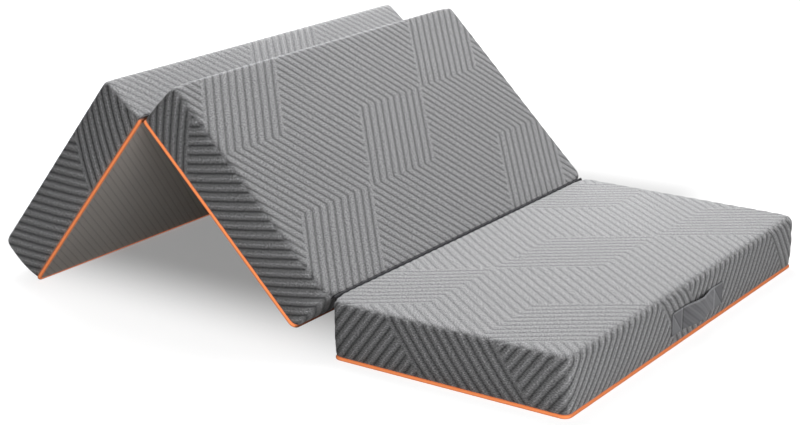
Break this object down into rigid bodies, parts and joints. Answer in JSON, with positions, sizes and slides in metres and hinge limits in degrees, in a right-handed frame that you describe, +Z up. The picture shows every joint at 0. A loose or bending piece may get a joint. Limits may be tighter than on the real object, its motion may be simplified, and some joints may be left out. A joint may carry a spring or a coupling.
{
  "type": "folding mattress",
  "caption": "Foam mattress in hinged panels with ribbed knit covers, orange piping, zips and a carrying handle, posed with its peak raised.",
  "frame": {"origin": "centre of the base panel's underside, on the floor", "axes": "+X along the mattress towards the base panel's free end with the handle, +Y across it towards the zips, +Z up"},
  "size_m": [1.7197, 1.2254, 0.5851],
  "materials": {
    "cover_knit": "ribbed grey knit",
    "bottom_cloth": "dotted non-slip cloth",
    "piping": "orange bias-covered cord",
    "memory_foam": "open-cell foam",
    "support_foam": "open-cell foam",
    "hinge_strip": "charcoal woven strip",
    "handle": "plain woven strap",
    "zip_tape": "woven tape",
    "zip_teeth": "nylon coil",
    "zip_metal": "dark painted zinc"
  },
  "bodies": {
    "base_panel": {"base_cover": "cover_knit", "base_memory_foam": "memory_foam", "base_support_foam": "support_foam", "base_bottom_cloth": "bottom_cloth", "base_piping": "piping", "base_zip_tape": "zip_tape", "base_zip_teeth": "zip_teeth", "handle_strap": "handle", "top_hinge_strip": "hinge_strip"},
    "middle_panel": {"middle_cover": "cover_knit", "middle_memory_foam": "memory_foam", "middle_support_foam": "support_foam", "middle_bottom_cloth": "bottom_cloth", "middle_piping": "piping", "middle_zip_tape": "zip_tape", "middle_zip_teeth": "zip_teeth", "peak_hinge_strip": "hinge_strip"},
    "end_panel": {"end_cover": "cover_knit", "end_memory_foam": "memory_foam", "end_support_foam": "support_foam", "end_bottom_cloth": "bottom_cloth", "end_piping": "piping", "end_zip_tape": "zip_tape", "end_zip_teeth": "zip_teeth"},
    "base_slider": {"base_zip_slider": "zip_metal"},
    "base_pull": {"base_zip_pull": "zip_metal"},
    "middle_slider": {"middle_zip_slider": "zip_metal"},
    "middle_pull": {"middle_zip_pull": "zip_metal"},
    "end_slider": {"end_zip_slider": "zip_metal"},
    "end_pull": {"end_zip_pull": "zip_metal"}
  },
  "joints": [
    {"name": "middle_fold", "type": "hinge", "parent": "base_panel", "child": "middle_panel", "pos_m": [-0.318, 0, 0.15075], "axis": [0, 1, 0], "range_deg": [-44.5, 135.5], "deforming": ["top_hinge_strip"]},
    {"name": "end_fold", "type": "hinge", "parent": "middle_panel", "child": "end_panel", "pos_m": [-0.87782, 0, 0.48847], "axis": [0, 1, 0], "range_deg": [-84.44, 95.55], "deforming": ["peak_hinge_strip"]},
    {"name": "base_zip", "type": "slide", "parent": "base_panel", "child": "base_slider", "axis": [-1, 0, 0], "range_m": [0, 0.521]},
    {"name": "middle_zip", "type": "slide", "parent": "middle_panel", "child": "middle_slider", "axis": [-0.7133, 0, 0.7009], "range_m": [0, 0.521]},
    {"name": "end_zip", "type": "slide", "parent": "end_panel", "child": "end_slider", "axis": [-0.6286, 0, -0.7778], "range_m": [0, 0.521]},
    {"name": "base_pull_swing", "type": "hinge", "parent": "base_slider", "child": "base_pull", "pos_m": [0.2605, 0.6127, 0.03], "axis": [0, 0, -1], "range_deg": [0, 170]},
    {"name": "middle_pull_swing", "type": "hinge", "parent": "middle_slider", "child": "middle_pull", "pos_m": [-0.44365, 0.6127, 0.10493], "axis": [-0.7009, 0, -0.7133], "range_deg": [0, 170]},
    {"name": "end_pull_swing", "type": "hinge", "parent": "end_slider", "child": "end_pull", "pos_m": [-0.93787, 0.6127, 0.46308], "axis": [0.7778, 0, -0.6286], "range_deg": [0, 170]}
  ]
}
